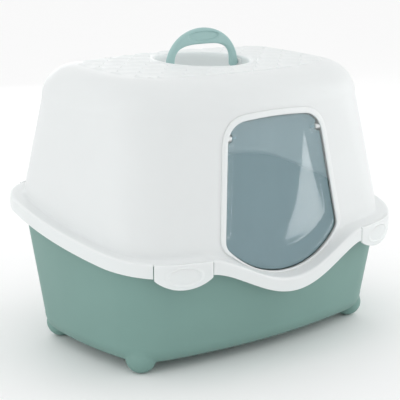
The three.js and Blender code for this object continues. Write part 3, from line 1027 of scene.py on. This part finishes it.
@dataclass(frozen=True)
class Hood:
    """The hood's shell: skirt, ledge, leaning walls, patterned top and the round recess."""

    finish: Plastic
    wall: float = 2.6
    ledge_width: float = 21.0
    ledge_thickness: float = 3.0
    ledge_middle: float = 9.0
    flange_round: float = 3.5
    flange_edge: float = 0.6
    skirt_height: float = 20.0
    skirt_wall: float = 2.6
    clip_seam: float = 1.2
    crown: float = 2.0
    crown_half_x: float = 186.0
    crown_half_y: float = 109.0
    relief_scale: float = 44.0
    relief_height: float = 2.0
    relief_lift: float = 0.5
    surround_width: float = 9.0
    surround_proud: float = 2.0
    surround_sill_share: float = 0.34
    hook_root: float = 4.5
    hook_edge: float = 0.8
    recess_depth: float = 24.0
    recess_round: float = 14.0
    recess_rim: float = 8.0
    boss_width: float = 16.0
    boss_gap: float = 1.2
    boss_root: float = 2.5
    boss_edge: float = 2.2

    def _relief(self, x: float, y: float) -> float:
        """Works out the overlapping scallops on the top.

        Args:
            x: the place along X.
            y: the place along Y.

        Returns:
            Their height there, from 0 to 1.
        """
        u, v = x / self.relief_scale, (y + BOX_DEPTH / 2) / (self.relief_scale / 2)
        row = math.floor(v)
        best = 0.0
        for step in (0, 1):
            shift = 0.5 * ((row + step) % 2)
            across = (u + shift) % 1.0 - 0.5
            deep = (v - row - step) * 0.5
            distance = math.hypot(across, deep) / 0.5
            if distance <= 1.0:
                best = distance
                break
        return best**3

    def _wall_rings(self, inset: float, steps: int, round_steps: int) -> list[Ring]:
        """Draws the wall and the shoulder.

        Args:
            inset: 0 for the outer face, or the wall for the inner one.
            steps: how many steps the wall has.
            round_steps: how many steps the shoulder has.

        Returns:
            Rings up the wall and over the shoulder to the edge of the top.
        """
        rings = []
        for i in range(steps):
            t = i / steps
            points = WALL_FOOT.mixed(SHOULDER, t).outline(inset)
            rings.append(
                ring(
                    points,
                    lambda x, y: mix(rim_z(x, y) + LEDGE_FILLET, top_z(y) - SHOULDER_RADIUS, t),
                )
            )
        radius = SHOULDER_RADIUS - inset
        for angle in quarter_turn(round_steps):
            points = SHOULDER.outline(inset + radius * (1 - math.cos(angle)))
            rise = radius * math.sin(angle) - SHOULDER_RADIUS
            rings.append(ring(points, lambda x, y: top_z(y) + rise))
        return rings

    @staticmethod
    def _circle(edge: Ring, radius: float, height: Callable[[float, float], float]) -> Ring:
        """Draws a circle round the handle.

        Args:
            edge: the ring whose points the circle's points face.
            radius: the circle's radius.
            height: its height at each place.

        Returns:
            The circle.
        """
        angles = [math.atan2(point.y - HANDLE_Y, point.x) for point in edge]
        points = [(radius * math.cos(a), HANDLE_Y + radius * math.sin(a)) for a in angles]
        return ring(points, height)

    def _crown(self, x: float, y: float) -> float:
        """How far the top swells above its sloping plane at one place."""
        share = min(math.hypot(x / self.crown_half_x, (y - HANDLE_Y) / self.crown_half_y), 1.0)
        return self.crown * (1 - share * share)

    def _top_rings(self, edge: Ring) -> list[Ring]:
        """Draws the patterned top.

        Args:
            edge: the ring where the shoulder ends.

        Returns:
            Rings from the edge to the recess's raised rim.
        """
        rim = self._circle(edge, RECESS_RADIUS + self.recess_rim, lambda x, y: top_z(y))
        steps = 84
        rings = []
        for i in range(1, steps + 1):
            t = i / steps
            fade = ease(0.0, 0.07, t) * (1 - ease(0.93, 1.0, t))
            row = []
            for point in between(edge, rim, t):
                x, y = point.x, point.y
                raised = self.relief_lift * ease(0.01, 0.06, t)
                raised += self.relief_height * self._relief(x, y) * fade
                row.append(Vector((x, y, top_z(y) + self._crown(x, y) + raised)))
            rings.append(row)
        return rings

    def _recess_rings(self, edge: Ring) -> list[Ring]:
        """Draws the round recess.

        Args:
            edge: the ring whose points each circle's points face.

        Returns:
            Rings over the raised rim and down to the middle of the floor.
        """
        rings = []
        bead = ((7.2, 0.5), (6.4, 1.2), (5.2, 1.8), (3.6, 2.1), (2.0, 1.9), (0.8, 1.1), (0.1, 0))
        for out, rise in bead:
            rings.append(
                self._circle(
                    edge,
                    RECESS_RADIUS + out,
                    lambda x, y: top_z(y) + self._crown(x, y) + rise,
                )
            )
        floor = top_z(HANDLE_Y) - self.recess_depth
        shoulder = floor + self.recess_round
        for t in (0.35, 0.7):
            rings.append(
                self._circle(edge, RECESS_RADIUS - t, lambda x, y: mix(top_z(y), shoulder, t))
            )
        for angle in quarter_turn(10):
            radius = RECESS_RADIUS - 1 - self.recess_round * (1 - math.cos(angle))
            height = shoulder - self.recess_round * math.sin(angle)
            rings.append(self._circle(edge, radius, lambda x, y: height))
        for radius in (48.0, 32.0, 16.0):
            rings.append(self._circle(edge, radius, lambda x, y: floor))
        rings.append(shrunk(edge, Vector((0.0, HANDLE_Y, floor))))
        return rings

    def _inner_rings(self) -> list[Ring]:
        """Draws the inner face.

        Returns:
            Rings from the middle under the recess to the skirt's lower edge.
        """
        wall = self._wall_rings(self.wall, 12, 8)
        edge = wall[-1]
        under = top_z(HANDLE_Y) - self.recess_depth - self.wall
        radius = RECESS_RADIUS + self.wall
        rings = [shrunk(edge, Vector((0.0, HANDLE_Y, under)))]
        rings += [self._circle(edge, r, lambda x, y: under) for r in (40.0, radius - 12)]
        rings += [
            self._circle(edge, radius - 3, lambda x, y: under + 4),
            self._circle(edge, radius, lambda x, y: under + 14),
            self._circle(edge, radius, lambda x, y: top_z(y) - self.wall - 1),
            self._circle(edge, radius + 1, lambda x, y: top_z(y) - self.wall),
        ]
        rings += wall[::-1]
        rings += [
            rim_ring(self.ledge_width + self.wall, -self.ledge_thickness),
            rim_ring(self.skirt_wall, -self.ledge_thickness),
            rim_ring(self.skirt_wall, -self.skirt_height),
        ]
        return rings

    def _shell(self) -> bpy.types.Object:
        """Draws the closed shell, inside and outside, before anything is cut from it.

        Returns:
            The shell.
        """
        flange = [
            rim_ring(self.flange_edge, -self.skirt_height),
            rim_ring(0.0, -self.skirt_height + self.flange_edge),
        ]
        for angle in quarter_turn(5):
            drawn_in = self.flange_round * (1 - math.cos(angle))
            flange.append(rim_ring(drawn_in, self.flange_round * (math.sin(angle) - 1)))
        flange.append(rim_ring(self.ledge_middle, 0.0))
        flange.append(rim_ring(self.ledge_width - LEDGE_FILLET, 0.0))
        for angle in quarter_turn(5)[1:]:
            inset = self.ledge_width - LEDGE_FILLET * (1 - math.sin(angle))
            flange.append(rim_ring(inset, LEDGE_FILLET * (1 - math.cos(angle))))
        wall = self._wall_rings(0.0, 24, 14)[1:]
        edge = wall[-1]
        rings = self._inner_rings() + flange + wall
        rings += self._top_rings(edge) + self._recess_rings(edge)
        return as_piece(wrapped(rings), "hood_moulding")

    @staticmethod
    def _door_cutter() -> bpy.types.Object:
        """Makes the block that the doorway is cut out with.

        Returns:
            The block, which reaches from in front of the box to well inside it.
        """
        outline = door_outline()
        faces, middle_z = (-260.0, -110.0), 240.0
        rings = [[Vector((x, y, z)) for x, z in outline] for y in faces]
        ends = [shrunk(rings[0], Vector((0.0, y, middle_z))) for y in faces]
        return as_piece(wrapped([ends[0], *rings, ends[1]]), "door_cutter")

    def _surround(self) -> bmesh.types.BMesh:
        """Draws the raised bead round the doorway, narrower along the sill.

        Returns:
            The bead, a closed band sunk into the wall.
        """
        outline = door_outline()
        sill = min(z for _, z in outline)
        profile = (
            (0.0, -3.0),
            (0.0, 0.9),
            (0.5, 1.6),
            (1.4, self.surround_proud),
            (self.surround_width - 1.6, self.surround_proud),
            (self.surround_width - 0.5, 1.5),
            (self.surround_width, 0.5),
            (self.surround_width + 0.3, -0.8),
            (self.surround_width, -3.0),
            (0.0, -3.0),
        )

        def share(z: float) -> float:
            """The bead's width at one height, as a share of its full width."""
            return mix(self.surround_sill_share, 1.0, ease(sill + 28, sill + 62, z))

        rings = []
        for out, proud in profile:
            edge = grown(outline, lambda x, z: out * share(z))
            rings.append([Vector((x, front_wall_y(x, z) - proud, z)) for x, z in edge])
        return wrapped(rings)

    def _hooks(self) -> list[bmesh.types.BMesh]:
        """Makes the hooks that the flap hangs in.

        Returns:
            A hook on each side of the doorway.
        """
        made = []
        half = DOOR_HALF_AT_AXIS
        for side in BOTH_SIDES:
            low = Vector((side * (half - HOOK_LENGTH), FLAP_AXIS_Y, FLAP_AXIS_Z))
            high = Vector((side * (half + self.hook_root), FLAP_AXIS_Y, FLAP_AXIS_Z))
            made.append(rod(HOOK_RADIUS, low, high, self.hook_edge))
        return made

    def _bosses(self) -> list[bmesh.types.BMesh]:
        """Makes the two blocks in the recess that hold the handle's ends.

        Returns:
            A block on each side.
        """
        made = []
        half, top = self.boss_width / 2, top_z(HANDLE_Y) - 1
        inner, outer = HANDLE_WIDTH / 2 + self.boss_gap, RECESS_RADIUS + self.boss_root
        for side in BOTH_SIDES:
            xs = sorted((side * inner, side * outer))
            low = Vector((xs[0], HANDLE_Y - half, top_z(HANDLE_Y) - self.recess_depth - 1))
            high = Vector((xs[1], HANDLE_Y + half, top))
            made.append(soft_block(low, high, self.boss_edge))
        return made

    def build(self) -> None:
        """Makes the shell, its doorway surround, the flap's hooks and the handle's bosses."""
        shell = self._shell()
        width = CLIP_WIDTH + 2 * self.clip_seam
        inset = (-6.0, CLIP_THICKNESS - CLIP_PROUD + 0.4)
        height = (-self.skirt_height - 4, 4.0)
        curves = [FlangeCurve(end, side) for end in BOTH_SIDES for side in BOTH_SIDES]
        slots = [curve.band(width, inset, height, "slot") for curve in curves]
        carve(shell, [self._door_cutter(), *slots])
        dress(shell, self.finish, "hood", 36.0)
        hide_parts("hood_shell")
        surround = as_piece(self._surround(), "door_surround")
        dress(surround, self.finish, "hood", 50.0)
        hooks = as_piece(joined(self._hooks()), "flap_hooks")
        dress(hooks, self.finish, "hood")
        bosses = as_piece(joined(self._bosses()), "handle_bosses")
        dress(bosses, self.finish, "hood", 50.0)


# ---------------------------------------------------------------- flap


@dataclass(frozen=True)
class Flap:
    """The clear flap: a pane with a sloping margin, hung by a stub at each upper corner."""

    finish: Plastic
    gap: float = 1.4
    recess: float = 2.5
    thickness: float = 2.4
    dish: float = 2.6
    pane: float = 0.84
    centre_z: float = 318.0
    stub_radius: float = 1.8
    stub_reach: float = 7.0
    stub_root: float = 3.0
    hook_clearance: float = 2.2

    def _surface(self, x: float, z: float, scale: float, depth: float) -> Vector:
        """A point on the pane, sunk in towards its middle and depth behind its front face."""
        sunk = self.dish * (1 - ease(self.pane, 0.985, scale))
        return Vector((x, front_wall_y(x, z) + self.recess + sunk + depth, z))

    def build(self) -> bpy.types.Object:
        """Makes the flap.

        Returns:
            The finished piece, riding on the flap's body.
        """
        outline = self._outline()
        centre = (0.0, self.centre_z)
        scales = [0.0, 0.15, 0.3, 0.45, 0.6, 0.7, 0.78, 0.82, self.pane, 0.85, 0.87, 0.9]
        scales += [0.93, 0.96, 0.975, 0.985]
        profile = [(s, 0.0) for s in scales]
        profile += [(0.996, 0.15), (1.0, 0.6), (1.0, self.thickness - 0.5)]
        profile += [(0.996, self.thickness)] + [(s, self.thickness) for s in scales[::-1]]
        rings = []
        for scale, depth in profile:
            row = []
            for x, z in outline:
                px, pz = mix(centre[0], x, scale), mix(centre[1], z, scale)
                row.append(self._surface(px, pz, scale, depth))
            rings.append(row)
        stubs = []
        half = DOOR_HALF_AT_AXIS
        for side in BOTH_SIDES:
            near = half - HOOK_LENGTH - self.hook_clearance - self.stub_reach
            ends = (near, half - self.stub_root)
            points = [Vector((side * x, FLAP_AXIS_Y, FLAP_AXIS_Z)) for x in ends]
            stubs.append(rod(self.stub_radius, *points))
        piece = as_piece(joined([wrapped(rings), *stubs]), "flap_pane")
        dress(piece, self.finish, "flap", 40.0)
        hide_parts("door_flap")
        return piece

    def _outline(self) -> list[Flat]:
        """Draws the pane's edge.

        Returns:
            The doorway's edge moved inwards, and drawn in further at the height of the hooks.
        """
        edge = grown(door_outline(), lambda x, z: -self.gap)
        room = HOOK_RADIUS + self.hook_clearance
        notch_x = DOOR_HALF_AT_AXIS - HOOK_LENGTH - self.hook_clearance
        made = []
        for x, z in edge:
            depth = ease(room + 2.2, room - 0.4, abs(z - FLAP_AXIS_Z))
            kept = math.copysign(min(abs(x), notch_x), x)
            made.append((mix(x, kept, depth) if abs(x) > notch_x else x, z))
        return made


# ---------------------------------------------------------------- handle


@dataclass(frozen=True)
class Handle:
    """The folding handle: an arch that deepens into a grip with an oval recess on each face."""

    finish: Plastic
    pivot_z: float = 403.3
    reach: float = 55.6
    thickness: float = 9.0
    leg_width: float = 13.0
    grip_depth: float = 24.0
    squareness: float = 3.3
    edge: float = 3.0
    pad_length: float = 60.0
    pad_height: float = 14.5
    pad_depth: float = 2.0
    stub_radius: float = 3.0
    stub_gap: float = 2.0

    def _pad(self, x: float, z: float) -> float:
        """Works out the oval recess in each face of the grip.

        Args:
            x: the place along X.
            z: the height above the pivot.

        Returns:
            The recess's depth there.
        """
        middle = self.reach - self.grip_depth / 2
        place = math.hypot(x / (self.pad_length / 2), (z - middle) / (self.pad_height / 2))
        return self.pad_depth * (1 - ease(0.9, 1.0, place))

    def _section(self, inner: Vector, outer: Vector) -> Ring:
        """Draws a rounded cross-section of the handle.

        Args:
            inner: its inner end, across and above the pivot.
            outer: its outer end.

        Returns:
            The closed section.
        """
        half = self.thickness / 2
        width = (outer - inner).length
        edge = min(self.edge, width / 2 * 0.95)
        middle = (inner + outer) / 2
        way = (outer - inner).normalized() if width > 1e-6 else Vector((1.0, 0.0))
        faces = 22
        corner = quarter_turn(4)
        path = []
        for turn in (1, -1):
            for i in range(faces + 1):
                along = mix(-(width / 2 - edge), width / 2 - edge, i / faces) * turn
                path.append((along, turn * half))
            for angle in corner[1:]:
                along = width / 2 - edge + edge * math.sin(angle)
                path.append((along * turn, turn * (half - edge + edge * math.cos(angle))))
            for angle in corner[::-1][:-1]:
                along = width / 2 - edge + edge * math.sin(angle)
                path.append((along * turn, -turn * (half - edge + edge * math.cos(angle))))
        made = []
        for along, y in path:
            x, z = middle.x + way.x * along, middle.y + way.y * along
            if abs(abs(y) - half) < 1e-6:
                y = math.copysign(half - self._pad(x, z), y)
            made.append(Vector((x, HANDLE_Y + y, self.pivot_z + z)))
        return made

    def build(self) -> bpy.types.Object:
        """Makes the handle with a stub at each end.

        Returns:
            The finished piece, riding on the handle's body.
        """
        half, heel = HANDLE_WIDTH / 2, self.leg_width / 2
        inner_half, inner_top = half - self.leg_width, self.reach - self.grip_depth
        squareness = self.squareness
        rings = []
        foot = half - heel
        for angle in quarter_turn(8)[::-1][:-1]:
            drop, wide = -heel * math.sin(angle), heel * math.cos(angle)
            inner, outer = Vector((foot - wide, drop)), Vector((foot + wide, drop))
            rings.append(self._section(inner, outer))
        steps = 150
        for i in range(steps + 1):
            angle = math.pi * i / steps
            c, s = math.cos(angle), math.sin(angle)
            outer_reach = 1 / math.hypot(c / half, s / self.reach)
            power = (abs(c) / inner_half) ** squareness + (abs(s) / inner_top) ** squareness
            inner_reach = power ** (-1 / squareness)
            way = Vector((c, s))
            rings.append(self._section(way * inner_reach, way * outer_reach))
        for angle in quarter_turn(8)[1:]:
            drop, wide = -heel * math.sin(angle), heel * math.cos(angle)
            inner, outer = Vector((-foot + wide, drop)), Vector((-foot - wide, drop))
            rings.append(self._section(inner, outer))
        stubs = []
        for side in BOTH_SIDES:
            ends = (half - heel, RECESS_RADIUS - self.stub_gap)
            points = [Vector((side * x, HANDLE_Y, self.pivot_z)) for x in ends]
            stubs.append(rod(self.stub_radius, *points))
        piece = as_piece(joined([wrapped(rings), *stubs]), "handle_moulding")
        dress(piece, self.finish, "handle", 40.0)
        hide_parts("handle")
        return piece


# ---------------------------------------------------------------- studio


@dataclass(frozen=True)
class Lamp:
    """One soft lamp, with its place and size in metres and its power in watts."""

    name: str
    place: Vector
    size: Flat
    power: float

    def hang(self, target: Vector) -> None:
        """Hangs the lamp so that it faces a place.

        Args:
            target: the place that it faces.
        """
        data = bpy.data.lights.new(self.name, "AREA")
        data.shape = "RECTANGLE"
        data.size, data.size_y = self.size
        data.energy = self.power
        lamp = bpy.data.objects.new(self.name, data)
        bpy.context.scene.collection.objects.link(lamp)
        lamp.location = self.place
        lamp.rotation_mode = "QUATERNION"
        lamp.rotation_quaternion = (target - self.place).to_track_quat("-Z", "Y")
        lamp.visible_camera = False


@dataclass(frozen=True)
class Studio:
    """The camera, the pale floor, the backdrop and the soft lights, in metres."""

    look_at: Vector
    azimuth: float
    elevation: float
    distance: float
    lens: float
    shift: Flat
    lamps: tuple[Lamp, ...]
    lit_place: Vector
    panel_place: Vector
    panel_corners: tuple[Flat, ...]
    panel_glow: float
    floor_half: float = 15.0
    dome_radius: float = 20.0

    def camera(self) -> None:
        """Sets up the camera that the scene is seen through."""
        data = bpy.data.cameras.new("camera")
        data.sensor_width = 36.0
        data.lens = self.lens
        data.shift_x, data.shift_y = self.shift
        data.clip_end = 50.0
        camera = bpy.data.objects.new("camera", data)
        bpy.context.scene.collection.objects.link(camera)
        a, e = math.radians(self.azimuth), math.radians(self.elevation)
        back = Vector((math.sin(a) * math.cos(e), -math.cos(a) * math.cos(e), math.sin(e)))
        camera.location = self.look_at + back * self.distance
        camera.rotation_mode = "QUATERNION"
        camera.rotation_quaternion = (-back).to_track_quat("-Z", "Y")
        bpy.context.scene.camera = camera

    def floor(self) -> None:
        """Lays the floor that the box stands on."""
        bm = bmesh.new()
        bmesh.ops.create_grid(bm, x_segments=4, y_segments=4, size=self.floor_half)
        floor = as_piece(bm, "floor")
        floor.data.materials.append(FLOOR_PAINT.material())

    def backdrop(self) -> None:
        """Puts a white dome far round the studio, which is seen but gives no light."""
        bm = bmesh.new()
        bmesh.ops.create_uvsphere(bm, u_segments=48, v_segments=24, radius=self.dome_radius)
        dome = as_piece(bm, "backdrop")
        dome.data.materials.append(glowing("backdrop_paper", 1.0))
        dome.visible_diffuse = False
        dome.visible_glossy = False
        dome.visible_transmission = False
        dome.visible_shadow = False

    def _panel(self) -> None:
        """Stands a glowing panel beside the box, which only its glossy faces reflect."""
        bm = bmesh.new()
        right = Vector((1.0, 1.0, 0.0)).normalized()
        for across, up in self.panel_corners:
            bm.verts.new(self.panel_place + right * across + Vector((0.0, 0.0, up)))
        bmesh.ops.contextual_create(bm, geom=bm.verts[:])
        panel = as_piece(bm, "panel")
        panel.data.materials.append(glowing("panel_light", self.panel_glow))
        panel.visible_camera = False
        panel.visible_diffuse = False
        panel.visible_shadow = False

    def lights(self) -> None:
        """Hangs the soft lights and fills the room with pale light."""
        for lamp in self.lamps:
            lamp.hang(self.lit_place)
        self._panel()
        world = bpy.data.worlds.new("room")
        world.use_nodes = True
        back = world.node_tree.nodes["Background"]
        back.inputs["Color"].default_value = (1.0, 1.0, 1.0, 1.0)
        back.inputs["Strength"].default_value = 1.0
        bpy.context.scene.world = world
        bpy.context.scene.view_settings.view_transform = "Standard"


# ---------------------------------------------------------------- everything in order


def corners(box: tuple[Vector, Vector]) -> list[list[float]]:
    """A box's two corners as plain lists."""
    return [list(corner) for corner in box]


def main() -> None:
    """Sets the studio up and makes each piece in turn."""
    logging.basicConfig(level=logging.INFO, format="%(message)s")
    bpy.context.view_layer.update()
    studio = Studio(
        look_at=Vector((0.0, 0.0, 0.2)),
        azimuth=-39.2504,
        elevation=13.1331,
        distance=1.90007,
        lens=112.21,
        shift=(-0.0189, -0.0028),
        lamps=(
            Lamp("left", Vector((-2.6, 0.2, 0.75)), (1.2, 1.2), 5.5),
            Lamp("right", Vector((2.8, -0.9, 0.85)), (1.2, 1.2), 12.0),
            Lamp("back", Vector((0.9, 2.4, 0.9)), (1.4, 0.7), 5.0),
        ),
        lit_place=Vector((0, 0, 0.25)),
        panel_place=Vector((0.99, -0.99, 0.25)),
        panel_corners=((0.033, 0.076), (-0.195, -0.188), (0.02, -0.145)),
        panel_glow=11.0,
    )
    studio.camera()
    studio.floor()
    studio.backdrop()
    studio.lights()
    Tray(SAGE_PLASTIC).build()
    Hood(WHITE_PLASTIC).build()
    Flap(CLEAR_PLASTIC).build()
    Handle(GRIP_PLASTIC).build()
    for side, row in zip(BOTH_SIDES, ("front", "rear")):
        for end, hand in zip(BOTH_SIDES, ("left", "right")):
            Clip(f"{row}_{hand}_clip", end, side, WHITE_PLASTIC).build()


if __name__ == "__main__":
    main()
